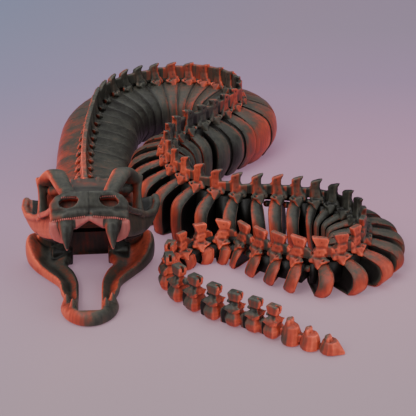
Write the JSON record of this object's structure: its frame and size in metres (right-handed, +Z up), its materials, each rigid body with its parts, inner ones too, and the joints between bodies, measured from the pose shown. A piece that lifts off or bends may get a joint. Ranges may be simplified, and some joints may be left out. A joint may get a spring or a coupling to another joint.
{
  "type": "printed snake skeleton model",
  "caption": "Coiled snake skeleton ornament, printed in two-tone silk plastic, with an open-mouthed skull, a lower jaw flat on the table and a long chain of linked vertebrae.",
  "frame": {"origin": "on the table, under the middle of the coil's box", "axes": "+Z up; -Y is the way the head faces, towards the viewer; +X to the viewer's right, where the body's right bend and the tail lie"},
  "size_m": [0.131, 0.2108, 0.0388],
  "materials": {
    "silk_plastic": "satin-gloss silk filament in fine printed layers, copper red on one side and charcoal on the other"
  },
  "bodies": {
    "root": {"skull": "silk_plastic", "lower_jaw": "silk_plastic", "neck": "silk_plastic", "trunk_front": "silk_plastic", "trunk_back_bend": "silk_plastic", "trunk_middle": "silk_plastic", "trunk_left_bend": "silk_plastic", "trunk_rear": "silk_plastic", "trunk_right_bend": "silk_plastic", "tail_base": "silk_plastic", "tail_bend": "silk_plastic", "tail_run": "silk_plastic", "tail_tip": "silk_plastic"}
  },
  "joints": []
}
